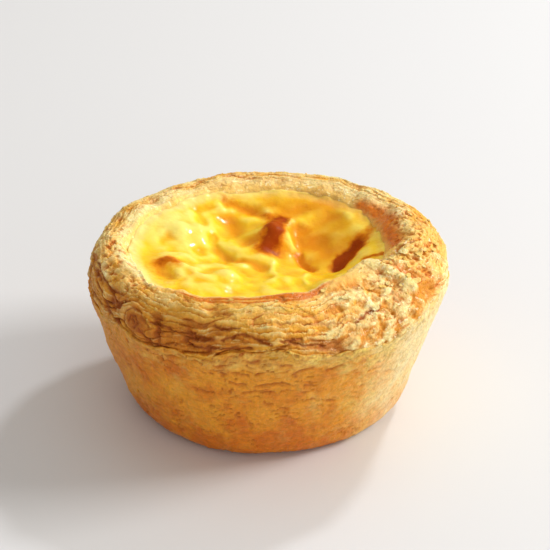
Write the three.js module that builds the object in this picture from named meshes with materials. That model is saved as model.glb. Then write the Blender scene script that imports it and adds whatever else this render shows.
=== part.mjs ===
// An egg tart: a cup of laminated pastry, baked in a small round tin, filled with egg custard.
//
// The part stands on its flat underside. The origin is the middle of that underside, +Z is up,
// +X is to the right and +Y to the back. Lengths are in millimetres and angles in degrees,
// counted anticlockwise from +X as seen from above, so that the front of the tart is at 270.
import * as THREE from "three";

// ---- Driving dimensions ---------------------------------------------------------------------

// The smooth wall took its shape from the tin.
const BASE_RADIUS = 27.8; // where the wall would meet the table if its lower edge were sharp
const BASE_EDGE = 3.6; // how far the rounded lower edge reaches in and up
const EDGE_TURN = 72; // the rounded edge turns this far, from the flat underside to the wall's slope
const SHOULDER_RADIUS = 37.1; // the wall's radius at the height of the tin's mouth
const SHOULDER_HEIGHT = 28.5;
const WALL_BELLY = 0.1; // how far the wall bulges between the base and the shoulder
const LEFT_BELLY = 0.6; // and how much further at the left
const FRONT_DENT = 0.9; // how far the foot of the wall stands back at the front right
const WALL_DENT = 0.22; // depth of the dents that steam left in the wall

// The pastry rose out of the tin, and its layers opened like the edges of a book's pages.
const SEAM_HEIGHT = 28.2; // ragged upper edge of the smooth outer layer
const CREST_RADIUS = 30.6; // top of the rim
const CREST_HEIGHT = 36;
const SHOULDER_PUFF = -0.2; // how far the risen layers stand out beyond the tin's mouth
const LEAVES = 7; // bundles of pastry layers between the seam and the crest
const LEAF_RISE = 0.5; // height of a leaf's edge above the band's mean surface
const LEAF_CREVICE = 0.6; // depth of the gap behind it
const LEAF_THICKNESS = 0.42; // share of the leaf spacing that its edge takes up
const HOLLOW_DEPTH = 1.9; // the outer layer came away at the front right and left a hollow behind it
const FOLD_RISE = 0.9; // a fold runs over the band there, beside the hollow

// The cavity holds the custard.
const LIP_RADIUS = 26.7; // where the custard's skin meets the pastry
const LIP_HEIGHT = 33.4;
const OFF_CENTRE = 1.4; // the custard lies this far to the left of the wall's axis
const FLOOR_RADIUS = 21.4;
const FLOOR_HEIGHT = 4.2; // thickness of the pastry under the custard
const CLEARANCE = 0.3; // between the two solids

// The custard rose in the oven and sank as it cooled.
const CUSTARD_SAG = 3.2; // drop from the skin's edge to its middle
const CUSTARD_WAVE = 0.3; // fine unevenness of the skin

// Numbers of steps in the meshes.
const ROUND_STEPS = 112; // round the tart
const WALL_STEPS = 7; // up the wall
const SKIN_RINGS = 18; // across the custard's skin
const CAVITY_STEPS = 3; // down the cavity's wall

// ---- Unevenness round the tart --------------------------------------------------------------

const radians = THREE.MathUtils.degToRad;
const mix = THREE.MathUtils.lerp;

/** A repeatable phase for one harmonic of one wavy line. */
function phase(seed, harmonic) {
  const scattered = Math.sin(seed * 12.9898 + harmonic * 78.233) * 43758.5453;
  return (scattered - Math.floor(scattered)) * 2 * Math.PI;
}

/** A closed wavy line round the tart, made of the harmonics from low to high. Its RMS height is 1. */
function wavy(angle, seed, low, high) {
  let sum = 0;
  for (let k = low; k <= high; k += 1) sum += Math.sin(k * radians(angle) + phase(seed, k));
  return sum / Math.sqrt((high - low + 1) / 2);
}

/** A smooth swelling round one angle: 1 at its middle, and small beyond its width. */
function swelling(angle, middle, width) {
  const away = THREE.MathUtils.euclideanModulo(angle - middle + 180, 360) - 180;
  return Math.exp(-((away / width) ** 2));
}

/** The seam stands highest at the front and at the right, where the outer layer tore last. */
function seamHeight(angle) {
  return SEAM_HEIGHT + 2.6 * swelling(angle, 268, 20) - 1.9 * swelling(angle, 184, 26)
    - 0.9 * swelling(angle, 240, 12) - 1.0 * swelling(angle, 310, 9) + 2.8 * swelling(angle, 335, 16)
    + 1.0 * swelling(angle, 5, 25) + 0.25 * wavy(angle, 3, 4, 20);
}

/** The rim is highest at the front and on the right, and lowest behind. */
function crestHeight(angle) {
  return CREST_HEIGHT + 1.5 * swelling(angle, 285, 45) + 0.9 * swelling(angle, 340, 34)
    - 0.9 * swelling(angle, 190, 45) - 1.6 * swelling(angle, 133, 34) - 2.1 * swelling(angle, 74, 28)
    + 0.18 * wavy(angle, 5, 3, 16);
}

/** How far the innermost layers lean in over the custard at the front right: 1 at the most. */
function flap(angle) {
  return swelling(angle, 317, 23);
}

/** The rim is broad at the left and narrow at the front, where it leans in. */
function crestRadius(angle) {
  return CREST_RADIUS - 2.8 * swelling(angle, 262, 48) + 0.8 * swelling(angle, 193, 35)
    - 0.6 * swelling(angle, 145, 30) - 1.3 * swelling(angle, 18, 34) - 6.4 * flap(angle)
    + 0.25 * wavy(angle, 7, 3, 18);
}

function lipRadius(angle) {
  return LIP_RADIUS - OFF_CENTRE * Math.cos(radians(angle)) - 3.3 * flap(angle)
    - 1.5 * swelling(angle, 10, 30) + 0.16 * wavy(angle, 9, 3, 12);
}

function lipHeight(angle) {
  return LIP_HEIGHT - 0.5 * swelling(angle, 90, 40) - 0.5 * swelling(angle, 200, 45)
    + 0.15 * wavy(angle, 11, 2, 9);
}

// ---- Pastry ---------------------------------------------------------------------------------

/** Radius of the smooth wall at a height, with its belly and its dents. */
function wallRadius(angle, height) {
  const up = Math.min(height / SHOULDER_HEIGHT, 1);
  const belly = (WALL_BELLY + LEFT_BELLY * swelling(angle, 190, 55)) * Math.sin(Math.PI * up)
    - FRONT_DENT * swelling(angle, 292, 34) * (1 - up);
  const dents = 0.6 * wavy(angle + 9 * up, 13, 5, 14) + 0.6 * wavy(angle - 70 * up, 17, 8, 19);
  return mix(BASE_RADIUS, SHOULDER_RADIUS, up) + belly + WALL_DENT * dents * Math.sqrt(up);
}

/** The mean surface of the risen band: a curve from the seam over the shoulder to the crest. */
function bandCurve(angle) {
  const seam = seamHeight(angle);
  const crest = [crestRadius(angle), crestHeight(angle)];
  return new THREE.CubicBezierCurve(
    new THREE.Vector2(wallRadius(angle, seam), seam),
    new THREE.Vector2(SHOULDER_RADIUS + SHOULDER_PUFF + 0.25 * wavy(angle, 19, 2, 7), seam + 4),
    new THREE.Vector2(crest[0] + 4.4, crest[1] + 0.5),
    new THREE.Vector2(crest[0], crest[1]),
  );
}

/** How crumbly the cut edge is: the layers opened into coarse crumb at the left and at the right. */
function crumble(angle) {
  return 0.75 + 0.6 * swelling(angle, 0, 42) + 0.35 * swelling(angle, 170, 34);
}

/** Where the leaves' outer corners lie along the band: 0 at the seam and 1 at the crest. */
function leafShares(angle) {
  const shares = [0];
  for (let leaf = 1; leaf < LEAVES; leaf += 1) {
    const drift = THREE.MathUtils.clamp(0.14 * wavy(angle, 31 + leaf, 1, 6), -0.27, 0.27);
    shares.push((leaf + drift) / LEAVES);
  }
  shares.push(1);
  return shares;
}

/** How far a leaf's edge stands up at an angle; its outline is ragged, and more so where it crumbled. */
function leafRise(angle, leaf) {
  const ragged = Math.max(1 + 0.34 * crumble(angle) * wavy(angle, 51 + leaf, 7, 34), 0.1);
  const fold = leaf > 0 ? FOLD_RISE * swelling(angle, 329, 5.5) : 0;
  return LEAF_RISE * ragged + fold;
}

/** How deep the gap behind a leaf's edge is. Here and there it is closed, and two leaves run together. */
function leafOpening(angle, leaf) {
  const open = LEAF_CREVICE * Math.max(0.9 + 0.5 * wavy(angle, 71 + leaf, 2, 12), 0.1);
  const hollow = leaf === 0 ? HOLLOW_DEPTH * swelling(angle, 333, 12) : 0;
  return open + hollow;
}

/** Edges of the leaves, from the seam to the crest: each has an outer corner, an inner corner and a crevice. */
function leafRows(angle) {
  const band = bandCurve(angle);
  const shares = leafShares(angle);
  const rows = [];
  for (let leaf = 0; leaf < LEAVES; leaf += 1) {
    const share = shares[leaf];
    const outer = band.getPoint(share);
    const inner = band.getPoint(mix(share, shares[leaf + 1], LEAF_THICKNESS));
    const gap = band.getPoint(mix(share, shares[leaf + 1], 0.68));
    const tangent = band.getTangent(share);
    const normal = new THREE.Vector2(tangent.y, -tangent.x);
    // The outer leaves lean out like the wall, and the inner ones stand straight up.
    const lean = radians(mix(70, 94, share));
    const upward = new THREE.Vector2(Math.cos(lean), Math.sin(lean)).add(normal).normalize();
    const rise = leafRise(angle, leaf);
    const open = leafOpening(angle, leaf);
    rows.push([outer.x + rise * upward.x, outer.y + rise * upward.y]);
    rows.push([inner.x + 0.75 * rise * upward.x, inner.y + 0.75 * rise * upward.y]);
    rows.push([gap.x - open * normal.x, gap.y - open * normal.y]);
  }
  return rows;
}

/** The crust's outline at one angle, from the middle of its underside round to the middle of the cavity's floor. */
function crustOutline(angle) {
  const foot = wallRadius(angle, 0) - BASE_EDGE + 0.13 * wavy(angle, 23, 5, 18);
  const outline = [[0, 0], [foot, 0]];
  for (const turn of [EDGE_TURN / 3, (2 * EDGE_TURN) / 3]) {
    const outward = Math.sin(radians(turn)) / Math.sin(radians(EDGE_TURN));
    const upward = (1 - Math.cos(radians(turn))) / (1 - Math.cos(radians(EDGE_TURN)));
    outline.push([mix(foot, wallRadius(angle, BASE_EDGE), outward), BASE_EDGE * upward]);
  }
  const seam = seamHeight(angle);
  for (let step = 0; step < WALL_STEPS; step += 1) {
    const height = mix(BASE_EDGE, seam, step / WALL_STEPS);
    outline.push([wallRadius(angle, height), height]);
  }
  outline.push(...leafRows(angle));

  // Over the crest and down the rim's inner face to the custard.
  const crest = [crestRadius(angle), crestHeight(angle)];
  const lip = [lipRadius(angle), lipHeight(angle)];
  const ruffle = 0.25 * crumble(angle) * wavy(angle, 91, 5, 26);
  outline.push([crest[0] + 0.5, crest[1] + 0.5 + ruffle]);
  outline.push([crest[0] - 0.5, crest[1] + 0.1 + ruffle]);
  outline.push([mix(crest[0], lip[0], 0.6) - 0.3, mix(crest[1], lip[1], 0.5) + 0.5 + 0.6 * ruffle]);
  outline.push([lip[0], lip[1] + 0.4]);

  for (let step = 1; step <= CAVITY_STEPS; step += 1) {
    const down = step / CAVITY_STEPS;
    outline.push([mix(lip[0], FLOOR_RADIUS, down), mix(lip[1] - 0.6, FLOOR_HEIGHT, down)]);
  }
  outline.push([0, FLOOR_HEIGHT]);
  return outline;
}

// ---- Custard --------------------------------------------------------------------------------

// What shows on the skin, from the back to the front: x and y of its middle, how far it reaches,
// and how far it rises, or sinks where that is negative.
const SKIN_FORMS = [
  { name: "groove behind", x: -8, y: 21.5, reach: 3.4, rise: -1.0 },
  { name: "pit at the back left", x: -13.5, y: 21, reach: 2.2, rise: -0.9 },
  { name: "left dome", x: -19.5, y: 11.5, reach: 5.5, rise: 1.9 },
  { name: "browned blister", x: 1.2, y: 11, reach: 3.4, rise: 2.4 },
  { name: "long basin", x: -8, y: 13.5, reach: 5.0, rise: -1.6 },
  { name: "peak beside the basin", x: -12.6, y: 11.5, reach: 2.0, rise: 1.4 },
  { name: "back right lobe", x: 20, y: 13, reach: 4.6, rise: 1.5 },
  { name: "right basin", x: 11.5, y: 2.5, reach: 9.0, rise: -3.0 },
  { name: "pit in the middle", x: -9.2, y: 1.5, reach: 2.3, rise: -1.5 },
  { name: "saddle", x: -3, y: 4, reach: 3.6, rise: 1.2 },
  { name: "left blister", x: -19.5, y: -3.4, reach: 3.6, rise: 1.6 },
  { name: "front left dome", x: -15.5, y: -12, reach: 5.0, rise: 1.6 },
  { name: "front dome", x: -8.6, y: -7, reach: 3.2, rise: 1.3 },
  { name: "front pit", x: -3.2, y: -5, reach: 2.8, rise: -1.0 },
  { name: "front right slope", x: 8, y: -15, reach: 7.0, rise: -0.8 },
];

/** Height of the custard's skin. share runs from 0 in the middle to 1 at the lip. */
function skinHeight(angle, share) {
  const radius = share * (lipRadius(angle) - CLEARANCE);
  const x = radius * Math.cos(radians(angle));
  const y = radius * Math.sin(radians(angle));
  const free = 1 - share ** 6; // the skin is held at its edge
  let height = mix(LIP_HEIGHT - CUSTARD_SAG, lipHeight(angle), share ** 2);
  for (const form of SKIN_FORMS) {
    const away = ((x - form.x) ** 2 + (y - form.y) ** 2) / form.reach ** 2;
    height += free * form.rise * Math.exp(-away);
  }
  const ripple = Math.sin(0.5 * x + 0.21 * y + 1.3) * Math.sin(0.6 * y - 0.13 * x + 0.4)
    + 0.6 * Math.sin(0.83 * x - 0.35 * y + 2.1) * Math.sin(0.31 * x + 0.77 * y);
  return height + free * CUSTARD_WAVE * ripple;
}

/** The custard's outline at one angle, from the middle of its underside round to the middle of its skin. */
function custardOutline(angle) {
  const lip = [lipRadius(angle) - CLEARANCE, lipHeight(angle)];
  const floor = [FLOOR_RADIUS - CLEARANCE, FLOOR_HEIGHT + CLEARANCE];
  const outline = [[0, floor[1]]];
  for (let step = 0; step < CAVITY_STEPS; step += 1) {
    const up = step / CAVITY_STEPS;
    outline.push([mix(floor[0], lip[0], up), mix(floor[1], lip[1] - 0.6, up)]);
  }
  for (let ring = SKIN_RINGS; ring > 0; ring -= 1) {
    const share = ring / SKIN_RINGS;
    outline.push([share * lip[0], skinHeight(angle, share)]);
  }
  outline.push([0, skinHeight(0, 0)]);
  return outline;
}

// ---- Meshes ---------------------------------------------------------------------------------

/**
 * A closed body turned round the Z axis, whose outline changes with the angle. The outline is a list of
 * [radius, height] that starts and ends on the axis, and has as many points at every angle. The lathe
 * makes the faces, and then each of its outlines gets the true shape for its angle.
 */
function turnUneven(outlineAt, steps) {
  const rows = outlineAt(0).map(([radius, height]) => new THREE.Vector2(radius, height));
  const geometry = new THREE.LatheGeometry(rows, steps);
  const position = geometry.getAttribute("position");
  for (let step = 0; step <= steps; step += 1) {
    const angle = (360 * (step % steps)) / steps;
    outlineAt(angle).forEach(([radius, height], row) => {
      const [x, y] = [radius * Math.cos(radians(angle)), radius * Math.sin(radians(angle))];
      position.setXYZ(step * rows.length + row, x, y, height);
    });
  }
  geometry.computeVertexNormals();
  return geometry;
}

/** The pastry shell, golden where it touched the tin and paler on its open layers. */
function makeCrust() {
  const material = new THREE.MeshStandardMaterial({ color: 0xd9a45a, roughness: 0.75, metalness: 0 });
  const mesh = new THREE.Mesh(turnUneven(crustOutline, ROUND_STEPS), material);
  mesh.name = "crust";
  return mesh;
}

/** The set custard, with a moist skin. */
function makeCustard() {
  const material = new THREE.MeshStandardMaterial({ color: 0xf0c838, roughness: 0.3, metalness: 0 });
  const mesh = new THREE.Mesh(turnUneven(custardOutline, ROUND_STEPS), material);
  mesh.name = "custard";
  return mesh;
}

const tart = new THREE.Group();
tart.add(makeCrust(), makeCustard());

export default tart;
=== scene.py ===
"""An egg tart: a deep cup of laminated pastry, its rim opened into leaves, filled with baked egg custard."""

import math
from itertools import product

import bpy
import numpy as np
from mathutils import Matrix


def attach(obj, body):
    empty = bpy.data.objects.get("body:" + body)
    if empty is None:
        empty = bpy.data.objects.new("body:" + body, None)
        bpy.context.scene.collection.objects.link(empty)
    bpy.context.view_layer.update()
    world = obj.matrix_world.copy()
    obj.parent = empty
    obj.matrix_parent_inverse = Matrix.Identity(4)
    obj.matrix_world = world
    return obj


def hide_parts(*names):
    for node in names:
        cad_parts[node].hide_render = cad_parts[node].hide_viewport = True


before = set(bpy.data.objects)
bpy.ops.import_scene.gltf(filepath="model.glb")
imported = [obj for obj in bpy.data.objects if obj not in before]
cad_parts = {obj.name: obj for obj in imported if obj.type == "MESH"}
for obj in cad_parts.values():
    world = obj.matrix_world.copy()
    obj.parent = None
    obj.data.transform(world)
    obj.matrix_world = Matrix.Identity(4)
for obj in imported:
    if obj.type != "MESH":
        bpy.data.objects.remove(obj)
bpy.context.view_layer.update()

# ---- Camera ---------------------------------------------------------------------------------
# A long lens looks down on the front of the tart from the height of someone seated at the table.
# The tart stands a little below and to the left of the middle of the picture.
CAMERA_DISTANCE = 0.45  # metres
CAMERA_ELEVATION = 30  # degrees
CAMERA_LENS = 141.7  # mm, on the usual 36 mm sensor
TART_MIDDLE_HEIGHT = 0.020  # metres, as the next two
AIM_TO_THE_RIGHT = 0.00156
AIM_ABOVE = 0.00624

camera = bpy.data.objects.new("camera", bpy.data.cameras.new("camera"))
bpy.context.scene.collection.objects.link(camera)
tilt = math.radians(CAMERA_ELEVATION)
camera.location = (
    0,
    -CAMERA_DISTANCE * math.cos(tilt),
    TART_MIDDLE_HEIGHT + CAMERA_DISTANCE * math.sin(tilt),
)
aim_height = TART_MIDDLE_HEIGHT + AIM_ABOVE * math.cos(tilt)
aim = np.array((AIM_TO_THE_RIGHT, AIM_ABOVE * math.sin(tilt), aim_height))
sight = aim - np.array(camera.location)
camera.rotation_euler = (
    math.pi / 2 + math.atan2(sight[2], math.hypot(sight[0], sight[1])),
    0,
    -math.atan2(sight[0], sight[1]),
)
camera.data.lens = CAMERA_LENS
bpy.context.scene.camera = camera

# ---- Pastry wall ----------------------------------------------------------------------------
# The outermost sheets of a laminated dough, pressed into a small round tin and baked against the
# hot metal. The wall is smooth there, with the dents and cracks that steam left in it, and it ends
# in a torn edge where the dough rose out of the tin.
MM = 0.001  # sizes from here on are in mm
BASE_RADIUS = 27.8
BASE_EDGE = 3.6  # the rounding at the foot, in from the wall and up
EDGE_TURN = 72  # degrees that the rounding turns through
SHOULDER_RADIUS = 37.1
SHOULDER_HEIGHT = 28.5
WALL_BELLY = 0.1
LEFT_BELLY = 0.6
FRONT_DENT = 0.9
WALL_DENT = 0.22
SEAM_HEIGHT = 28.2
FLOOR_RADIUS = 21.4
FLOOR_HEIGHT = 4.2
INNER_CUP = (29.0, 25.0)  # radius and height of the cup's inside, hidden between the rim and the custard
TORN_EDGE_ROWS = ((0.25, -0.12), (0.6, 0.05), (1.0, 1.5))  # inwards and down from the wall's top
# Cracks that steam opened: the line that each follows, as angles and heights, and its width in mm.
WALL_CRACKS = (
    (((250.5, 28.0), (252, 28.4), (254, 28.2)), 0.32),
    (((255.6, 23.8), (256.6, 24.6)), 0.36),
    (((259, 25.2), (264, 24.9)), 0.26),
    (((264, 28.6), (267, 28.8)), 0.38),
    (((274, 27.8), (277, 27.5)), 0.35),
    (((278, 25.0), (280, 25.8), (284, 26.0)), 0.42),
    (((258, 22.6), (263, 22.2)), 0.30),
    (((266, 21.7), (273, 22.4), (277, 22.0)), 0.34),
    (((262, 20.2), (272, 20.0)), 0.30),
    (((289, 24.7), (294, 25.5)), 0.40),
    (((282, 21.4), (286, 21.0)), 0.30),
    (((246, 18.8), (252, 19.2)), 0.30),
    (((291, 15.6), (294, 15.0)), 0.34),
    (((270, 16.9), (271, 16.6)), 0.42),
    (((259.4, 12.6), (260, 12.7)), 0.40),
    (((276, 15.2), (276.6, 15.2)), 0.40),
    (((304, 17.2), (304.5, 17.2)), 0.34),
)
WALL_STEPS = 1000
WALL_ROWS = 78
EDGE_ROWS = 6
FIRST_CELL = 100000  # added to a cell's number, so that none is below zero


def phase(seed, harmonic):
    """A repeatable phase for one harmonic of one wavy line."""
    scattered = math.sin(seed * 12.9898 + harmonic * 78.233) * 43758.5453
    return (scattered - math.floor(scattered)) * 2 * math.pi


def wavy(angle, seed, low, high):
    """A closed wavy line round the tart, made of the harmonics from low to high, with an RMS height of 1."""
    waves = [np.sin(k * np.radians(angle) + phase(seed, k)) for k in range(low, high + 1)]
    return sum(waves) / math.sqrt((high - low + 1) / 2)


def bell(away):
    """1 at 0, and small beyond 1 on either side of it."""
    return np.exp(-(away**2))


def turned_from(middle, angle):
    """How far the angle is turned from the middle one, from -180 to 180 degrees."""
    return (angle - middle + 180) % 360 - 180


def swelling(angle, middle, width):
    """A smooth swelling round one angle: 1 at its middle, and small beyond its width."""
    return bell(turned_from(middle, angle) / width)


def swellings(angle, forms):
    """Swellings and dips round the tart. Each has a height, the angle of its middle, and a width."""
    return sum(height * swelling(angle, middle, width) for height, middle, width in forms)


def mix(low, high, share):
    """The value that share of the way from low to high."""
    return low + (high - low) * share


def as_share(value):
    """The value, held between 0 and 1."""
    return np.clip(value, 0, 1)


def unit(vectors, axis=-1):
    """The same directions, each with a length of 1."""
    return vectors / np.maximum(np.linalg.norm(vectors, axis=axis, keepdims=True), 1e-9)


def step_up(low, high, value):
    """0 below low, 1 above high, and smooth between them."""
    share = as_share((value - low) / (high - low))
    return share * share * (3 - 2 * share)


def lattice(cells, seed):
    """A repeatable random number from 0 to 1 for each whole-number cell of space."""
    x, y, z = np.moveaxis(cells.astype(np.uint64), -1, 0)
    mixed = x * np.uint64(73856093) ^ y * np.uint64(19349663) ^ z * np.uint64(83492791)
    mixed = (mixed ^ np.uint64(seed * 2654435761 % 2**32)) & np.uint64(0xFFFFFFFF)
    mixed = ((mixed ^ (mixed >> np.uint64(15))) * np.uint64(2246822519)) & np.uint64(0xFFFFFFFF)
    mixed = ((mixed ^ (mixed >> np.uint64(13))) * np.uint64(3266489917)) & np.uint64(0xFFFFFFFF)
    return ((mixed ^ (mixed >> np.uint64(16))) & np.uint64(0xFFFFFF)).astype(float) / 0xFFFFFF


def lumps(points, grain, seed):
    """Smooth random relief from -1 to 1, whose lumps are about one grain across."""
    place = points / grain
    cell = np.floor(place)
    inside = place - cell
    inside = inside * inside * (3 - 2 * inside)
    cell = cell.astype(np.int64) + FIRST_CELL
    total = 0
    for corner in product((0, 1), repeat=3):
        weight = np.prod(np.where(corner, inside, 1 - inside), axis=-1)
        total = total + weight * lattice(cell + corner, seed)
    return 2 * total - 1


def lumpy(points, layers):
    """Lumps of several grains laid over each other. Each layer has a height, a grain and a seed."""
    return sum(height * lumps(points, grain, seed) for height, grain, seed in layers)


def seven_randoms(cells, seed):
    """Seven repeatable random numbers from 0 to 1 for each whole-number cell of space."""
    first = lattice(cells, seed)
    return [(first * spread) % 1 for spread in (1, 61, 3571, 211, 9973, 631, 1327)]


def nearest_cell(points, size, seed):
    """The nearest of many scattered cell middles: the distances to it and to the next one, and the way from
    it, as shares of the cells' size, and seven random numbers of its own."""
    place = points / size
    cell = np.floor(place).astype(np.int64) + FIRST_CELL
    nearest, second = np.full(points.shape[:-1], 9.0), np.full(points.shape[:-1], 9.0)
    way, own = np.zeros(points.shape), np.zeros((7,) + points.shape[:-1])
    for corner in product((-1, 0, 1), repeat=3):
        there = cell + corner
        randoms = np.stack(seven_randoms(there, seed))
        from_middle = place - (there - FIRST_CELL) - np.moveaxis(randoms[:3], 0, -1)
        away = np.linalg.norm(from_middle, axis=-1)
        is_nearest = away < nearest
        second = np.where(is_nearest, nearest, np.minimum(second, away))
        nearest = np.where(is_nearest, away, nearest)
        way = np.where(is_nearest[..., None], from_middle, way)
        own = np.where(is_nearest, randoms, own)
    return nearest, second, way, own


def pits(points, spacing, reach, seed):
    """Small pits with ragged edges: 1 in a pit. reach is a pit's radius as a share of their spacing."""
    nearest, *_, own = nearest_cell(points, spacing, seed)
    ragged = 0.12 * lumps(points, 0.3 * spacing, seed + 1)
    return step_up(reach, 0.4 * reach, nearest + ragged + 0.25 * own[4] - 0.1)


def torn_scraps(points, size, seed):
    """Relief from about -1 to 1 like torn scraps, each flat, with a height and a tilt of its own, and the
    joins between them: 1 on a join."""
    nearest, second, way, own = nearest_cell(points, size, seed)
    height = 1.6 * (own[6] - 0.5) + 1.5 * np.sum(way * (np.moveaxis(own[3:6], 0, -1) - 0.5), axis=-1)
    return height, step_up(0.14, 0.02, second - nearest)


def torn_leaves(points, spacing, length, seed):
    """Leaves that lie over each other like shingles, each torn into pieces. Gives how far up its leaf a point
    is, from 0 in the gap under it to 1 at its torn edge, and a random number for the piece."""
    own = nearest_cell(points, np.array((length, length, 2.2 * spacing)), seed)[3]
    return (points[..., 2] / spacing + 5 * own[5]) % 1, own[6]


def along_line(x, y, corners, width, size=1.0):
    """A soft band along a line with corners: 1 on the line, and small beyond its width, in mm. x may be an
    angle in degrees, and size is then the length of a degree."""
    nearest = 9e9
    for (from_x, from_y), (to_x, to_y) in zip(corners, corners[1:]):
        step_x, step_y = (to_x - from_x) * size, to_y - from_y
        away_x = turned_from(from_x, x) * size
        squared = np.maximum(step_x**2 + step_y**2, 1e-9)
        share = as_share((away_x * step_x + (y - from_y) * step_y) / squared)
        nearest = np.minimum(nearest, (away_x - share * step_x) ** 2 + (y - from_y - share * step_y) ** 2)
    return np.exp(-nearest / width**2)


def seam_height(angle):
    """The torn upper edge of the wall stands highest at the front and at the right."""
    forms = ((2.6, 268, 20), (-1.9, 184, 26), (-0.9, 240, 12), (-1.0, 310, 9), (2.8, 335, 16), (1.0, 5, 25))
    return SEAM_HEIGHT + swellings(angle, forms) + 0.25 * wavy(angle, 3, 4, 20)


def wall_radius(angle, height):
    """Radius of the wall at a height, with its belly and its dents."""
    up = np.minimum(height / SHOULDER_HEIGHT, 1)
    belly = (WALL_BELLY + LEFT_BELLY * swelling(angle, 190, 55)) * np.sin(np.pi * up)
    belly = belly - FRONT_DENT * swelling(angle, 292, 34) * (1 - up)
    dents = 0.6 * wavy(angle + 9 * up, 13, 5, 14) + 0.6 * wavy(angle - 70 * up, 17, 8, 19)
    return mix(BASE_RADIUS, SHOULDER_RADIUS, up) + belly + WALL_DENT * dents * np.sqrt(np.maximum(up, 0))


def in_space(flat, angle):
    """Turns radius and height at every row and angle into x, y and z."""
    turned = np.radians(angle)
    return np.stack([flat[:, 0] * np.cos(turned), flat[:, 0] * np.sin(turned), flat[:, 1]], axis=-1)


def outward_of(flat):
    """Outward direction, in radius and height, of an outline that has one radius and height a row."""
    along = unit(np.gradient(flat, axis=0), axis=1)
    return np.stack([along[:, 1], -along[:, 0]], axis=1)


def unroll(angle, level):
    """A place on an upright drum of the shoulder's radius, whose height is the level."""
    turned = np.radians(angle) + 0 * level
    return np.stack([SHOULDER_RADIUS * np.cos(turned), SHOULDER_RADIUS * np.sin(turned), level], axis=-1)


def streaks(angle, level, length, seed):
    """Random relief drawn out round the tart: a streak is length mm long and one level wide."""
    return lumps(unroll(angle, level), np.array((length, length, 1.0)), seed)


wall_angles = np.arange(WALL_STEPS) * 360 / WALL_STEPS
flat_ring = np.zeros(WALL_STEPS)
torn = 0.3 + 0.6 * swelling(wall_angles, 285, 55) + 0.4 * swelling(wall_angles, 25, 40)
torn_edge = torn * (
    0.55 * streaks(wall_angles, flat_ring, 3.2, 101)
    + 0.50 * streaks(wall_angles, flat_ring, 1.4, 102)
)
wall_top = seam_height(wall_angles) + torn_edge
foot = wall_radius(wall_angles, flat_ring) - BASE_EDGE + 0.13 * wavy(wall_angles, 23, 5, 18)

wall_rows = [(0 * foot, 0 * foot), (0.5 * foot, 0 * foot), (foot, 0 * foot)]
for row in range(1, EDGE_ROWS):
    turn = math.radians(EDGE_TURN * row / EDGE_ROWS)
    outward = math.sin(turn) / math.sin(math.radians(EDGE_TURN))
    upward = (1 - math.cos(turn)) / (1 - math.cos(math.radians(EDGE_TURN)))
    edge_radius = mix(foot, wall_radius(wall_angles, BASE_EDGE), outward)
    wall_rows.append((edge_radius, BASE_EDGE * upward + 0 * foot))
for row in range(WALL_ROWS + 1):
    height = mix(BASE_EDGE, wall_top, row / WALL_ROWS)
    wall_rows.append((wall_radius(wall_angles, height), height))
outer_rows = len(wall_rows)
# Over the torn edge, and down between the rim and the custard.
for inward, down in TORN_EDGE_ROWS:
    wall_rows.append((wall_rows[outer_rows - 1][0] - inward, wall_top - down))
for radius, height in (INNER_CUP, (FLOOR_RADIUS, FLOOR_HEIGHT), (0, FLOOR_HEIGHT)):
    wall_rows.append((radius + 0 * foot, height + 0 * foot))
wall = np.stack([np.stack(row) for row in wall_rows])  # row, radius or height, angle
wall_space = in_space(wall, wall_angles)

below_edge = wall_top - wall[:, 1]  # mm below the torn edge
shows = np.zeros((len(wall_rows), WALL_STEPS))
shows[3:outer_rows] = 1
ragged_top = 0.3 + 0.7 * swelling(wall_angles, 298, 48)
at_top = step_up(6.0, 0.8, below_edge + 1.6 * lumps(wall_space, 2.6, 117)) * shows * ragged_top
at_foot = step_up(15, 25, below_edge)
drift = lumpy(wall_space, ((1.2, 7.0, 111), (0.5, 2.2, 112), (0.25, 0.8, 113)))
unrolled = unroll(wall_angles, below_edge + drift)
sheet, sheet_joins = torn_scraps(unrolled, (4.5, 4.5, 2.0), 141)
scale, scale_joins = torn_scraps(unrolled, (1.9, 1.9, 0.9), 151)
over_leaf, of_leaf = torn_leaves(unrolled, 1.7, 3.4, 161)
cracked = step_up(0.55, 0.85, of_leaf + 0.25 * at_top + 0.35 * lumps(wall_space, 5.0, 164))
cracks = bell(over_leaf / 0.17) * cracked * step_up(0.75, 0.35, np.abs(of_leaf - 0.5))
cracks = cracks * (1 - 0.7 * swelling(wall_angles, 330, 32))
crack_height = wall[:, 1] + lumpy(wall_space, ((0.25, 1.2, 165), (0.15, 0.5, 166)))
degree = np.radians(wall[:, 0])
for corners, width in WALL_CRACKS:
    cracks = np.maximum(cracks, along_line(wall_angles, crack_height, corners, width, degree))
wall_pits = pits(wall_space, 2.0, 0.30, 116) * step_up(0.0, 0.5, lumps(wall_space, 4.0, 119))

wall_relief = shows * (
    lumpy(wall_space, ((0.22, 5.5, 121), (0.12, 2.2, 122), (0.06, 1.1, 123), (0.035, 0.5, 124)))
    + (0.02 + 0.20 * at_top) * sheet
    + (0.03 + 0.10 * at_top) * scale
    + (0.08 + 0.08 * at_top) * (over_leaf - 0.5) * (1 - 0.6 * swelling(wall_angles, 325, 40))
    - 0.34 * cracks
    - 0.26 * wall_pits
)
wall = wall + outward_of(wall) * wall_relief[:, None, :]
wall_points = in_space(wall, wall_angles)
wall_points[..., 2] = np.maximum(wall_points[..., 2], 0)


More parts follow.
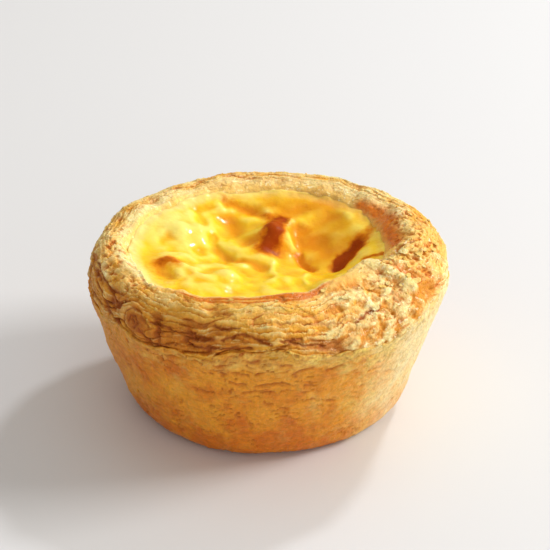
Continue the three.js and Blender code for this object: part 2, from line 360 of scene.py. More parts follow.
def add_mesh(name, points, faces, marks):
    """Adds a smooth mesh. points are in mm, and marks are named numbers for each, for its material."""
    mesh = bpy.data.meshes.new(name)
    mesh.from_pydata((points * MM).tolist(), [], faces)
    for mark, values in marks.items():
        mesh.attributes.new(mark, "FLOAT", "POINT").data.foreach_set("value", values.astype(np.float32))
    mesh.shade_smooth()
    made = bpy.data.objects.new(name, mesh)
    bpy.context.scene.collection.objects.link(made)
    return made


def turned_mesh(name, points, marks, ring=False):
    """Adds a closed mesh from rows of points round the Z axis. The first and last rows are on the axis, or
    meet each other where it is a ring."""
    rows, steps = points.shape[:2]
    this = np.arange(steps)
    following = np.roll(this, -1)
    faces = []

    def add_faces(*corners):
        faces.extend(np.stack(corners, axis=1).tolist())

    def add_band(low, high):
        add_faces(low + this, low + following, high + following, high + this)

    if ring:
        for row in range(rows):
            add_band(row * steps, (row + 1) % rows * steps)
        return add_mesh(name, points.reshape(-1, 3), faces, {mark: marks[mark].reshape(-1) for mark in marks})
    for row in range(1, rows - 2):
        add_band(1 + (row - 1) * steps, 1 + row * steps)
    top = 1 + (rows - 3) * steps
    add_faces(0 * this, 1 + following, 1 + this)
    add_faces(top + this, top + following, 0 * this + top + steps)

    def one_pole(values):
        """Each row on the axis becomes one point."""
        between = values[1:-1].reshape((-1,) + values.shape[2:])
        return np.concatenate([values[0, :1], between, values[-1, :1]])

    return add_mesh(name, one_pole(points), faces, {mark: one_pole(marks[mark]) for mark in marks})


# Colour marks of the wall. It is paler and creamier on the right side, where the window falls, and browner at
# the left. This is partly the pastry's own tone and partly painted light and painted shade. Its cracks, pits
# and joins are darker, partly as painted shade, and less so on the lit right side.
from_right = turned_from(0, wall_angles)
right_side = step_up(-90, -38, from_right) * step_up(70, 5, from_right)
pale = (
    0.9 * at_top
    + 0.10 * sheet
    + (0.15 + 0.25 * right_side) * (over_leaf - 0.5)
    + (0.10 + 0.2 * at_top) * scale
    + lumpy(wall_space, ((0.45, 3.0, 131), (0.25, 1.0, 133)))
    + 0.6 * right_side
    - 0.2
)
cream = 0.85 + 0.4 * lumps(wall_space * np.array([1, 1, 0.5]), 2.0, 135) + 0.3 * (over_leaf - 0.5)
cream = cream * step_up(-62, -32, from_right) * step_up(55, 0, from_right) * (1 - 0.5 * at_foot)
toasted_and_painted_shade = (
    0.85 * at_foot
    + lumpy(wall_space, ((0.60, 6.0, 132), (0.42, 1.6, 134)))
    + 0.25 * sheet
    + 0.25 * swelling(wall_angles, 215, 40)
    - 0.6 * right_side
    + 0.05
)
gaps = 0.8 * cracks + 0.8 * wall_pits + 0.5 * at_top * (sheet_joins + 0.6 * scale_joins)
wall_marks = {
    "pale": as_share(pale) * (1 - 0.5 * at_foot),
    "cream": as_share(cream),
    "toasted_and_painted_shade": as_share(toasted_and_painted_shade),
    "gaps": as_share(gaps) * (1 - 0.6 * right_side) * shows,
}
pastry_wall = turned_mesh("pastry_wall", wall_points, wall_marks)


def colour(code):
    """A colour for a shader, from its sRGB hex code."""
    shares = [int(code[i : i + 2], 16) / 255 for i in (1, 3, 5)]
    return tuple(s / 12.92 if s <= 0.04045 else ((s + 0.055) / 1.055) ** 2.4 for s in shares) + (1,)


# Sockets of the node that mixes two colours, by number, as several of them share a name.
AMOUNT, UNDER, OVER, MIXED = 0, 6, 7, 2


def add_node(tree, kind, inputs, gives=0, **settings):
    """Adds a shader node and returns the output that gives names or counts. inputs maps a socket's name or
    number to a value or to another node's output."""
    made = tree.nodes.new("ShaderNode" + kind)
    for setting, value in settings.items():
        setattr(made, setting, value)
    for socket, value in inputs.items():
        if isinstance(value, bpy.types.NodeSocket):
            tree.links.new(value, made.inputs[socket])
        else:
            made.inputs[socket].default_value = value
    return made.outputs[gives] if made.outputs else None


def bare_material(name):
    """A material that has no nodes yet, and its node tree."""
    material = bpy.data.materials.new(name)
    material.use_nodes = True
    material.node_tree.nodes.clear()
    return material, material.node_tree


def lay_marks(tree, laid, marks):
    """Lays the colour of each mark over the ones before, as far as the mark shows."""
    for mark, tint in marks.items():
        amount = add_node(tree, "Attribute", {}, "Fac", attribute_name=mark)
        layer = {AMOUNT: amount, UNDER: laid, OVER: colour(tint)}
        laid = add_node(tree, "Mix", layer, MIXED, data_type="RGBA")
    return laid


BLOTCH_SIZE = 5.0
FLECK_SIZE = 0.9
DRY_FLAKE_SIZE = 0.7
DRY_FLAKE = "#FFF2C6"
CRUMB_BUMPS = 0.3  # how deep the bumps that are too fine for the mesh look


def flaky_pastry(name, ground, browned, marks, roughness, grain, dry_flakes):
    """Baked flaky pastry: flour and butter, dry and matte, so that light goes a millimetre or two into it.
    The ground colour browns in blotches, and each mark has a colour of its own, laid over the ones before.
    Tiny dry flakes are paler where the crumb is cream and not soaked, and a film of fat smooths the bumps."""
    material, tree = bare_material(name)
    place = add_node(tree, "TexCoord", {}, "Object")
    noise = {"Vector": place, "Detail": 4, "Roughness": 0.62}
    blotches, flecks, grains = (
        add_node(tree, "TexNoise", noise | {"Scale": 1 / (size * MM)})
        for size in (BLOTCH_SIZE, FLECK_SIZE, grain)
    )
    browning = {"Value": blotches, "From Min": 0.36, "From Max": 0.68, "To Max": 0.55}
    browning = add_node(tree, "MapRange", browning)
    layer = {AMOUNT: browning, UNDER: colour(ground), OVER: colour(browned)}
    laid = add_node(tree, "Mix", layer, MIXED, data_type="RGBA")
    laid = lay_marks(tree, laid, marks)
    soaked, cream, film = (
        add_node(tree, "Attribute", {}, "Fac", attribute_name=mark) for mark in ("soaked", "cream", "film")
    )

    flakes = add_node(tree, "TexVoronoi", {"Vector": place, "Scale": 1 / (DRY_FLAKE_SIZE * MM)}, "Color")
    flakes = add_node(tree, "SeparateColor", {0: flakes})
    pale_flakes = {"Value": flakes, "From Min": 0.80, "From Max": 0.92, "To Max": dry_flakes}
    dry = add_node(tree, "Math", {0: cream, 1: soaked}, operation="SUBTRACT")
    torn_edges = {"Value": grains, "From Min": 0.44, "From Max": 0.54}
    dry_places = {"Value": dry, "From Min": 0.35, "From Max": 0.9}
    flake_here = add_node(tree, "MapRange", pale_flakes)
    for condition in (torn_edges, dry_places):
        holds = add_node(tree, "MapRange", condition)
        flake_here = add_node(tree, "Math", {0: flake_here, 1: holds}, operation="MULTIPLY")
    layer = {AMOUNT: flake_here, UNDER: laid, OVER: colour(DRY_FLAKE)}
    laid = add_node(tree, "Mix", layer, MIXED, data_type="RGBA")

    shade = add_node(tree, "Math", {0: flakes, 1: 0.3, 2: flecks}, operation="MULTIPLY_ADD")
    shades = {"Value": shade, "From Min": 0.4, "From Max": 0.9, "To Min": 0.84, "To Max": 1.14}
    shade = add_node(tree, "MapRange", shades)
    layer = {AMOUNT: 1.0, UNDER: laid, OVER: shade}
    laid = add_node(tree, "Mix", layer, MIXED, data_type="RGBA", blend_type="MULTIPLY")

    dryness = {"Value": flecks, "From Min": 0.3, "From Max": 0.7}
    dryness = dryness | {"To Min": roughness + 0.1, "To Max": roughness - 0.2}
    dryness = add_node(tree, "MapRange", dryness)
    dryness = add_node(tree, "Math", {0: soaked, 1: -0.28, 2: dryness}, operation="MULTIPLY_ADD")
    crumb = add_node(tree, "Math", {0: grains, 1: flecks}, operation="ADD")
    crumb = add_node(tree, "Math", {0: flakes, 1: 0.35, 2: crumb}, operation="MULTIPLY_ADD")
    strength = add_node(tree, "Math", {0: film, 1: -0.5, 2: 0.8}, operation="MULTIPLY_ADD")
    strength = add_node(tree, "Math", {0: soaked, 1: -0.25, 2: strength}, operation="MULTIPLY_ADD")
    bumps = add_node(tree, "Bump", {"Height": crumb, "Strength": strength, "Distance": CRUMB_BUMPS * MM})
    surface = {
        "Base Color": laid,
        "Roughness": dryness,
        "Normal": bumps,
        "IOR": 1.45,
        "Specular IOR Level": 0.4,
        "Subsurface Weight": 0.4,
        "Subsurface Radius": (1.0, 0.8, 0.4),
        "Subsurface Scale": 0.8 * MM,
    }
    surface = add_node(tree, "BsdfPrincipled", surface, subsurface_method="RANDOM_WALK")
    add_node(tree, "OutputMaterial", {"Surface": surface})
    return material


# The hot tin fried this face in the dough's own butter: golden, orange low down, with a faint sheen.
# Its paler right side and browner left are partly painted light and painted shade.
tin_baked = flaky_pastry(
    "tin_baked_puff_pastry",
    ground="#F3A529",
    browned="#E7911B",
    marks={"toasted_and_painted_shade": "#DB7810", "pale": "#F8D068", "cream": "#FAE4AA", "gaps": "#B85C08"},
    roughness=0.5,
    grain=0.45,
    dry_flakes=0.0,
)
pastry_wall.data.materials.append(tin_baked)
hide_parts("crust")
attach(pastry_wall, "root")

# ---- Risen rim ------------------------------------------------------------------------------
# Above the tin's mouth the dough puffed up freely, and its layers opened like the edges of a book's
# pages. They are crisp and thin, run together here and there, and crumbled at the left and right.
CREST_RADIUS = 30.6
CREST_HEIGHT = 36.0
SHOULDER_PUFF = -0.2  # how far the dough's shoulder stands out past the wall's
HOLLOW_DEPTH = 1.9
FOLD_RISE = 0.8
LIP_RADIUS = 26.7
LIP_HEIGHT = 33.4
OFF_CENTRE = 1.4
BAND_WIDTH = 14.0  # over the rim, from the seam to the crest
SLOPE_WIDTH = 5.0  # from the crest down to the custard
TUCKED_IN = 1.6  # the rim starts this far down behind the wall's torn edge
LAP_AT = 8.8  # the upper leaves lap over the lower ones here
HIGHEST_LEAF = 38.05  # higher leaves are pressed down to little more than this
LEAF_GIVE = 0.3
RIM_STEPS = 1400
RIM_ROWS = 66
KNOT_ANGLE = 225.0  # a strip of dough was folded in at the front left, and made a knot there
KNOT_ACROSS = 3.8
KNOT_SIZE = 2.4
KNOT_REACH = 4.2  # the layers bend round the knot over this distance
LEAF_SPACING = 1.35  # between the leaves, and between the thinner ones that lie in them
THIN_LEAF_SPACING = 0.7
LOWER_LAP, UPPER_LAP = 0.6, 0.3  # how far the two rings run on past the line of the lap
RIM_SHELL = 1.2  # how far inwards and down the hidden side of a ring lies


def crest_height(angle):
    """The rim is highest at the front and on the right, and lowest behind."""
    forms = ((1.5, 285, 45), (0.9, 340, 34), (-0.9, 190, 45), (-1.6, 133, 34), (-2.1, 74, 28))
    return CREST_HEIGHT + swellings(angle, forms) + 0.18 * wavy(angle, 5, 3, 16)


def flap(angle):
    """How far the innermost layers lean in over the custard at the front right: 1 at the most."""
    return swelling(angle, 317, 23)


def crest_radius(angle):
    """The rim is broad at the left and narrow at the front, where it leans in."""
    forms = ((-2.8, 262, 48), (0.8, 193, 35), (-0.6, 145, 30), (-1.3, 18, 34))
    return CREST_RADIUS + swellings(angle, forms) - 6.4 * flap(angle) + 0.25 * wavy(angle, 7, 3, 18)


def lip_radius(angle):
    """Where the custard's skin meets the pastry."""
    off_centre = OFF_CENTRE * np.cos(np.radians(angle))
    leaning_in = 3.3 * flap(angle) + 1.5 * swelling(angle, 10, 30)
    return LIP_RADIUS - off_centre - leaning_in + 0.16 * wavy(angle, 9, 3, 12)


def lip_height(angle):
    """Height of the custard's skin where it meets the pastry."""
    return LIP_HEIGHT - swellings(angle, ((0.5, 90, 40), (0.5, 200, 45))) + 0.15 * wavy(angle, 11, 2, 9)


def along_curve(corners, share):
    """Radius and height on a Bezier curve with four corners, at a share of the way along it."""
    rest = 1 - share
    a, b, c, d = corners
    return rest**3 * a + 3 * rest**2 * share * b + 3 * rest * share**2 * c + share**3 * d


rim_angles = np.arange(RIM_STEPS) * 360 / RIM_STEPS
seam = seam_height(rim_angles)
crest = np.stack([crest_radius(rim_angles), crest_height(rim_angles)])
lip = np.stack([lip_radius(rim_angles), lip_height(rim_angles)])
shoulder = SHOULDER_RADIUS + SHOULDER_PUFF + 0.25 * wavy(rim_angles, 19, 2, 7)
band_corners = (
    np.stack([wall_radius(rim_angles, seam), seam]),
    np.stack([shoulder, seam + 4.0]),
    crest + np.array([[4.4], [0.5]]),
    crest,
)
slope_corners = (
    crest,
    crest + np.array([[-1.6], [-0.1]]),
    lip + np.array([[0.9], [1.3]]),
    lip + np.array([[0.0], [-0.3]]),
)


def rim_outline(across):
    """Radius and height of the rim's mean surface, at a distance in mm over the rim from the seam."""
    below = np.minimum(across, 0)
    tucked = np.stack([wall_radius(rim_angles, seam + below), seam + below], axis=1)
    band = along_curve(band_corners, as_share(across / BAND_WIDTH)[:, None, :])
    slope = along_curve(slope_corners, as_share((across - BAND_WIDTH) / SLOPE_WIDTH)[:, None, :])
    above = np.where((across < BAND_WIDTH)[:, None, :], band, slope)
    return np.where((across < 0)[:, None, :], tucked, above)


# Creases between the layers: the line that each follows, as angles and distances over the rim in mm, its
# width and how deep it is.
CREASES = (
    (((193, 6.8), (203, 4.8), (209, 2.7), (218, 1.0)), 0.45, 1.0),
    (((186, 8.6), (199, 8.2), (208, 6.8), (216, 4.3)), 0.45, 0.9),
    (((184, 4.2), (190, 1.6), (200, 0.8)), 0.40, 0.7),
    (((220.5, 2.0), (220, 4.6), (222, 6.2), (225, 6.3), (228, 5.2), (230, 4.0)), 0.42, 0.7),
    (((221, 1.3), (225, 1.0)), 0.45, 0.6),
    (((222.5, 3.0), (222.6, 4.6), (224.5, 5.0), (226, 3.9), (225, 2.9)), 0.34, 0.7),
    (((223.6, 4.0), (224.6, 3.7)), 0.45, 0.8),
    (((227, 2.8), (232, 0.8), (239, 0.0)), 0.50, 1.0),
    (((230, 5.4), (239, 4.6), (247, 5.1)), 0.38, 0.9),
    (((233, 3.4), (239, 4.2)), 0.32, 0.6),
    (((234, 0.9), (241, 1.8)), 0.34, 0.6),
    (((247, 4.2), (253, 3.7)), 0.60, 1.2),
    (((245, 2.3), (250, 2.4), (260, 1.1), (265, 1.2)), 0.42, 1.1),
    (((253, 6.6), (257, 6.0), (261, 5.8)), 0.38, 0.8),
    (((256, 3.8), (263, 4.2), (268, 3.2)), 0.42, 0.9),
    (((267, 3.4), (271, 1.6)), 0.55, 1.0),
    (((274, 2.8), (280, 3.6)), 0.38, 0.9),
    (((278, 2.4), (283, 2.9), (287, 2.0)), 0.40, 0.7),
    (((273, 6.5), (278, 6.9)), 0.28, 0.5),
    (((287, 6.9), (295, 5.5)), 0.32, 0.5),
    (((300, 5.6), (306, 6.1), (312, 6.3)), 0.50, 1.0),
    (((331, 14.0), (339, 15.3), (348, 15.2), (352, 12.7)), 0.40, 0.7),
)

# Hollows where butter pooled and fried the dough orange: their lines, and their widths.
BUTTERED = (
    (((282, 8.5), (285, 8.9)), 0.55),
    (((290, 8.4), (296, 8.3)), 0.60),
    (((298, 11.4), (301, 11.6)), 0.60),
    (((304, 11.2), (309, 11.4)), 0.75),
    (((299, 1.2), (302, 3.4)), 0.80),
    (((313, 1.3), (315, 2.6)), 0.90),
    (((309, 3.9), (309, 4.9)), 0.60),
    (((308, 0.0), (309, 0.6)), 0.45),
    (((322, 1.0), (326, 3.6)), 1.15),
    (((331, 3.4), (331, 4.6)), 0.50),
    (((332, 7.3), (332, 7.9)), 0.50),
    (((323, 8.4), (323, 8.8)), 0.60),
    (((337, 6.6), (340, 7.2)), 0.60),
    (((345, 9.1), (346, 9.7)), 0.55),
    (((353, 11.6), (353, 12.4)), 0.60),
    (((199, 12.0), (200, 11.7)), 0.50),
    (((188, 12.9), (191, 12.3)), 0.50),
    (((211, 12.2), (212, 12.3)), 0.45),
    (((213, 9.9), (214, 9.8)), 0.50),
    (((221, 8.6), (222, 8.6)), 0.50),
)

# Where the rim's inner slope browned beside the custard.
BROWNED = (
    (((41, 17.4), (33, 16.9), (24, 16.8), (16, 16.4)), 1.5),
    (((14, 17.0), (4, 17.2), (-7, 16.6)), 1.4),
)

# A thin line of caramel that ran down from the custard at the front.
CARAMEL_DRIP = ((243, 12.9), (258, 12.3), (276, 12.2), (290, 12.9))

# The dried edge of the custard's skin, which clings to the rim at the left.
SKIN_EDGE = ((185, 18.6), (196, 17.6), (209, 15.4), (221, 13.7))


def off_surface(flat):
    """Directions off a surface, in space, for an outline that has one radius and height a row."""
    points = in_space(flat, rim_angles)
    round_it = np.roll(points, -1, axis=1) - np.roll(points, 1, axis=1)
    return unit(np.cross(round_it, np.gradient(points, axis=0)))


def rim_ring(name, across):
    """Makes one ring of the rim, between two distances over it, with its leaves, crumbs and colour marks."""
    rim = rim_outline(across)
    rim_space = in_space(rim, rim_angles)
    angles = rim_angles + 0 * across
    degree = np.radians(rim[:, 0])
    ragged = lumpy(rim_space, ((0.35, 1.4, 206), (0.22, 0.6, 207)))
    thick = 1 + 0.45 * lumps(rim_space, 1.1, 208)

    # Where the rim crumbled, and where its layers stand open.
    on_band = step_up(-0.8, 0.3, across) * step_up(BAND_WIDTH + 5, BAND_WIDTH + 3.6, across)
    on_slope = step_up(BAND_WIDTH - 1.5, BAND_WIDTH + 1.0, across)
    crumbly = as_share(
        1.15 * swelling(angles, 350, 38) * step_up(2.0, 5.0, across)
        + 1.0 * swelling(angles, 196, 28) * step_up(7.2, 8.8, across + ragged)
        + 0.25 * step_up(9, 12, across) * (1 - swelling(angles, 265, 40))
        + 0.45 * lumps(rim_space, 4.0, 201)
        - 0.15
    )
    crumbly = crumbly * step_up(BAND_WIDTH + 4, BAND_WIDTH + 1.5, across)
    open_low = as_share(
        1.0 * swelling(angles, 214, 34) * step_up(9.0, 7.0, across)
        + 1.0 * swelling(angles, 252, 20) * step_up(6.0, 3.5, across)
        + 0.3 * swelling(angles, 288, 18) * step_up(5.0, 2.5, across)
        + 0.5 * swelling(angles, 100, 80) * step_up(9.0, 5.0, across)
    )
    round_from_knot = np.radians(turned_from(KNOT_ANGLE, angles)) * SHOULDER_RADIUS
    from_knot = np.hypot(round_from_knot, 1.25 * (across - KNOT_ACROSS))
    knot = step_up(KNOT_SIZE + 0.5, KNOT_SIZE - 0.7, from_knot)

    # The layers wander, run into each other, and are torn into pieces whose edges stand a little proud.
    wandering = (
        across
        + 0.9 * streaks(angles, across / 5.0, 10, 211)
        + 0.6 * streaks(angles, across / 2.2, 3.4, 212)
        + lumpy(rim_space, ((0.26, 1.7, 203), (0.14, 0.7, 204)))
    )
    wandering = wandering - 0.7 * (across - KNOT_ACROSS) * bell(from_knot / KNOT_REACH)
    leaf = streaks(angles, wandering / 1.5, 6.5, 213)
    crease_here = step_up(-0.3, 0.3, streaks(angles, wandering / 2.4, 3.2, 215) + 0.75 * open_low - 0.2)
    crease_width = 0.17 + 0.11 * lumps(rim_space, 0.8, 217)
    creases = bell(leaf / crease_width) * crease_here
    unrolled = unroll(angles, wandering)
    over_leaf, of_leaf = torn_leaves(unrolled, LEAF_SPACING, 4.5, 261)
    over_thin, of_thin = torn_leaves(unrolled, THIN_LEAF_SPACING, 2.2, 262)
    fine_here = step_up(-0.25, 0.5, lumps(rim_space, 3.0, 264))
    leaf_gaps = bell(over_leaf / 0.18) * step_up(0.3, 0.75, of_leaf + 0.4 * lumps(rim_space, 2.2, 263))
    thin_gaps = bell(over_thin / 0.22) * step_up(0.45, 0.8, of_thin) * fine_here
    short_scraps, short_joins = torn_scraps(unrolled, (1.8, 1.8, 0.8), 271)

    named_creases = 0
    for corners, width, depth in CREASES:
        one = along_line(angles, across + 1.2 * ragged, corners, 0.85 * width * thick, degree)
        named_creases = np.maximum(named_creases, depth * one)
    buttered = 0
    for corners, width in BUTTERED:
        buttered = np.maximum(buttered, along_line(angles, across + ragged, corners, width * thick, degree))
    browned = 0
    for corners, width in BROWNED:
        browned = np.maximum(browned, along_line(angles, across + 0.7 * ragged, corners, width, degree))
    skin_edge_line = along_line(angles, across + 0.6 * ragged, SKIN_EDGE, 0.42, degree)

    # At the front right one sheet is folded up, with a hollow beside it, and another is lifted at the right.
    fold_line = 326.2 + 1.2 * np.cos((across - 7.0) / 3.5)
    fold = swelling(angles, fold_line, 2.6) * step_up(4.0, 5.5, across) * step_up(15.5, 13.0, across)
    behind_fold = swelling(angles, fold_line + 4.5, 3.0) * step_up(4.5, 6.5, across)
    behind_fold = behind_fold * step_up(14.0, 11.5, across)
    second_fold = swelling(angles, 349.0 - 1.2 * (across - 6), 2.4) * step_up(2.0, 3.5, across)
    second_fold = second_fold * step_up(9.5, 7.5, across)
    hollow = swelling(angles, 332.5, 4.6) * bell((across - 2.9) / 2.3)

    # At the right the dough swelled in soft masses, and short valleys are left between them.
    smooth_flap = swelling(angles, 309, 14) * step_up(10.4, 11.8, across + 1.5 * ragged)
    swollen = swelling(angles, 316, 26) * step_up(0.0, 1.2, across) * (1 - smooth_flap) * (1 - 0.8 * fold)
    bends = [lumps(rim_space, 1.6, seed) for seed in (221, 222, 223)]
    mass = lumpy(rim_space + 0.5 * np.stack(bends, axis=-1), ((0.75, 2.6, 237), (0.4, 1.3, 238)))
    valleys = step_up(-0.2, -0.45, mass) * swollen

    # Crumbs, and the holes that they left.
    crumbs, crumb_joins = torn_scraps(rim_space, (2.8, 2.8, 1.9), 281)
    small_crumbs, small_crumb_joins = torn_scraps(rim_space, (1.2, 1.2, 0.8), 291)
    holes = pits(rim_space, 2.2, 0.42, 227) * step_up(-0.5, 0.0, lumps(rim_space, 3.0, 230))
    small_holes = pits(rim_space, 1.1, 0.45, 231) * step_up(-0.3, 0.2, lumps(rim_space, 2.2, 234))
    doughy = step_up(-0.3, 0.3, lumps(rim_space, 3.4, 236))  # where the crumb is still smooth

    rise_of_crest = bell((across - BAND_WIDTH) / 1.4)
    ragged_crest = 0.2 * wavy(angles, 91, 5, 26) * (1 - 0.7 * swelling(angles, 262, 40))
    layered = on_band * (1 - 0.7 * crumbly) * (1 - 0.85 * on_slope) * (1 - knot)
    smooth_fold = (1 - 0.85 * as_share(fold + 0.6 * second_fold + hollow)) * (1 - smooth_flap)
    calm = 0.8 * swelling(angles, 264, 32) * step_up(5.5, 7.5, across) + 0.65 * swelling(angles, 203, 22)
    calm = as_share(calm + 0.6 * swollen)
    layered = layered * smooth_fold
    crumbled = on_band * crumbly * (1 - 0.7 * doughy) * smooth_fold
    left_front = swelling(angles, 228, 26)
    leaf_steps = 0.34 * (over_leaf - 0.5) + (0.05 + 0.14 * fine_here) * (over_thin - 0.5)
    leaf_steps = leaf_steps + 0.12 * short_scraps
    crumb_steps = 0.30 * crumbs + 0.14 * small_crumbs - 0.10 * crumb_joins + 0.16 * (over_leaf - 0.5) - 0.05
    relief = (
        layered * (0.20 * np.tanh(leaf / 0.25) * (0.4 + 0.6 * open_low) - (0.25 + 0.55 * open_low) * creases)
        + layered * (1 - 0.4 * open_low) * (1 - 0.8 * calm) * leaf_steps
        - layered * (1 - 0.7 * calm) * (0.20 * leaf_gaps + 0.12 * thin_gaps)
        - 0.42 * named_creases
        - 0.35 * buttered
        - 0.30 * valleys
        + swollen * (0.30 * mass + 0.12 * crumbs + 0.07 * small_crumbs - 0.06 * crumb_joins)
        + 0.50 * skin_edge_line
        - 0.15 * browned
        + on_band * lumpy(rim_space, ((0.24, 6.0, 243), (0.14, 2.6, 244), (0.07, 1.0, 245), (0.03, 0.5, 246)))
        + crumbled * crumb_steps
        - on_band * crumbly * smooth_fold * (0.6 * holes + 0.3 * small_holes)
        + on_slope * lumpy(rim_space, ((0.36, 4.2, 247), (0.20, 2.0, 248)))
        + 0.3 * knot
        + rise_of_crest * (0.2 + ragged_crest)
        + FOLD_RISE * (1.0 * fold + 0.6 * second_fold)
        - 0.45 * behind_fold
        - HOLLOW_DEPTH * hollow
        - (0.05 + 0.20 * left_front) * step_up(0.8, -0.4, across)
    )
    if across.min() > 0:  # the upper ring laps over the lower one
        relief = relief + 0.12 - 0.9 * step_up(0.45, 0.0, across - across[0])
    else:
        relief = relief - 0.9 * step_up(-0.6, 0.0, across - across[-1])
    rim = rim + outward_of(rim) * relief[:, None, :]
    inside = [row - RIM_SHELL for row in (rim[-1], rim[0])]
    points = in_space(np.concatenate([rim, np.stack(inside)]), rim_angles)
    above = np.maximum(points[..., 2] - HIGHEST_LEAF, 0)
    points[..., 2] = np.minimum(points[..., 2], HIGHEST_LEAF) + LEAF_GIVE * np.tanh(above / LEAF_GIVE)

    # Colour marks of the rim. The cream on the raised leaf edges and on the right side, where the window
    # falls, is partly the dry crumb's own colour and partly painted light. The toasted tint of the low band
    # at the front left is partly painted shade. The buttery orange is butter in the hollows and pits, and it
    # is also painted warm shade in the valleys, in the low places at the right and on the rear slope. The
    # gaps, the deep creases and the knot are darker partly as painted shade. Behind the fold, the gap colour
    # is painted shade only.
    at_right = swelling(angles, 350, 62)
    leaf_edges = 0.6 * (over_leaf**2 - 0.33) + 0.5 * fine_here * (over_thin**2 - 0.33)
    texture = layered * (leaf_edges + 0.2 * short_scraps + 0.2 * np.tanh(leaf / 0.25)) + crumbly * (
        0.2 * crumbs + 0.15 * small_crumbs + 0.35 * doughy
    )
    line_width = 0.30 + 0.6 * swelling(angles, 281, 13)
    caramel_line = bell((across - BAND_WIDTH + 0.6 + 0.5 * ragged) / line_width)
    drip = along_line(angles, across + 0.5 * ragged, CARAMEL_DRIP, 0.3, degree)
    caramel_line = np.maximum(caramel_line, 0.8 * drip)
    marks = {
        "toasted_and_painted_shade": 0.65 * open_low
        + 1.0 * knot
        + 0.8 * smooth_flap
        + 0.8 * swelling(angles, 236, 8) * swelling(across, 2.2, 1.8)
        + 0.6 * swelling(angles, 255, 13) * swelling(across, 2.6, 1.8)
        + 0.35 * lumps(rim_space, 4.0, 253) * on_band
        + 0.35 * swelling(angles, 357, 16) * swelling(across, 5.5, 3.0)
        - 0.5 * texture,
        "cream": 0.28
        + texture
        - 0.5 * smooth_flap
        + 0.34 * at_right * (1 + step_up(0.1, 0.6, relief))
        + 0.45 * on_slope
        + 1.1 * fold
        + 0.6 * second_fold
        + 0.25 * lumps(rim_space, 2.4, 252)
        + 1.2 * skin_edge_line
        + swollen * (0.36 + 0.45 * mass + 0.35 * crumbs + 0.25 * small_crumbs)
        - 0.25 * swelling(angles, 250, 42)
        - 0.55 * swelling(angles, 10, 20)
        - 0.4 * swelling(angles, 344, 12) * step_up(1.5, 4.5, across)
        - 0.4 * knot
        - 0.3 * open_low,
        "soaked": 1.4 * step_up(228, 240, angles) * step_up(303, 290, angles) * caramel_line
        + 1.3 * browned * (0.85 + 0.15 * lumps(rim_space, 1.6, 256)),
        "film": 0.5 * smooth_flap * (1 - fold)
        + 0.5 * calm * swelling(angles, 262, 34)
        + 0.75 * swelling(angles, 351, 21) * step_up(2.0, 4.0, across) * (1 - second_fold)
        + step_up(1.2, 3.2, across - BAND_WIDTH + 0.9 * lumps(rim_space, 2.2, 254)) * (0.7 + 0.3 * ragged)
        * (1 - skin_edge_line),
        "buttery_and_painted_shade": (1 - 0.9 * fold) * (0.9 * hollow + 0.95 * buttered + 0.5 * valleys)
        + swollen * (0.4 * crumb_joins + 0.2 * small_crumb_joins)
        + 0.6 * step_up(-0.1, -0.8, relief) * at_right * on_band * (1 - fold)
        + 0.3 * swelling(angles, 2, 24) * step_up(3.0, 6.0, across) * (1 - on_slope)
        + 0.25 * on_slope * swelling(angles, 70, 50),
        "gaps": layered * (0.8 * leaf_gaps + 0.5 * thin_gaps + 0.6 * creases + 0.15 * short_joins)
        + crumbled * (0.35 * crumb_joins + 0.2 * small_crumb_joins)
        + on_band * crumbly * smooth_fold * (1.0 * holes + 0.8 * small_holes)
        + 0.6 * behind_fold,
        "deep_and_painted_shade": layered * creases * (0.25 + 0.75 * open_low) + 1.1 * named_creases + 0.5 * knot,
    }
    hidden = np.zeros((len(inside), RIM_STEPS))
    marks = {mark: np.concatenate([as_share(values), hidden]) for mark, values in marks.items()}
    return turned_mesh(name, points, marks, ring=True), points, off_surface(rim), crumbly


lap = LAP_AT + 1.0 * wavy(rim_angles, 95, 2, 9) + 0.3 * wavy(rim_angles, 96, 10, 60)
row_shares = np.linspace(0, 1, RIM_ROWS)[:, None]
lower_across = mix(-TUCKED_IN, lap + LOWER_LAP, row_shares)
upper_across = mix(lap - UPPER_LAP, BAND_WIDTH + SLOPE_WIDTH, row_shares)
lower_rim, lower_points, lower_off, lower_crumbly = rim_ring("pastry_rim_lower_leaves", lower_across)
upper_rim, upper_points, upper_off, upper_crumbly = rim_ring("pastry_rim_upper_leaves", upper_across)

# The open layers dried in the oven's air: cream on their edges, orange where butter filled a gap.
# Their cream is partly painted light, and their darker gaps and creases and warm orange hollows are partly
# painted shade.
open_layers = flaky_pastry(
    "open_puff_pastry_layers",
    ground="#F3B52F",
    browned="#E9A01F",
    marks={
        "toasted_and_painted_shade": "#D2821C",
        "cream": "#F8E8A3",
        "film": "#F7D06C",
        "soaked": "#D8740A",
        "buttery_and_painted_shade": "#DF9526",
        "gaps": "#D4780F",
        "deep_and_painted_shade": "#A8560A",
    },
    roughness=0.55,
    grain=0.4,
    dry_flakes=0.7,
)
for leaves in (lower_rim, upper_rim):
    leaves.data.materials.append(open_layers)
    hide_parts("crust")
    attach(leaves, "root")

# ---- Custard filling ------------------------------------------------------------------------
# Egg, milk and sugar, baked until set. It rose in blisters, browned on the highest of them, and
# sank as it cooled, so its glossy skin lies in soft folds and hollows and clings to the pastry.
CUSTARD_SAG = 3.2
CUSTARD_WAVE = 0.3
INTO_THE_PASTRY = 0.3
FLOOR_GAP = 0.3
SIDE_SHARE = 0.9  # the hidden side bends this share of the way from the floor to the skin's edge
UNDER_LIP = 0.6
CLIMB_REACH = 1.5  # the skin climbs up the pastry over this width
HOLLOW_REACH = 1.8  # a place is compared with the skin at this distance round it
FULL_HOLLOW = 0.3  # and marked as a full hollow when it lies this far below
SKIN_ROWS = 130
SKIN_STEPS = 640

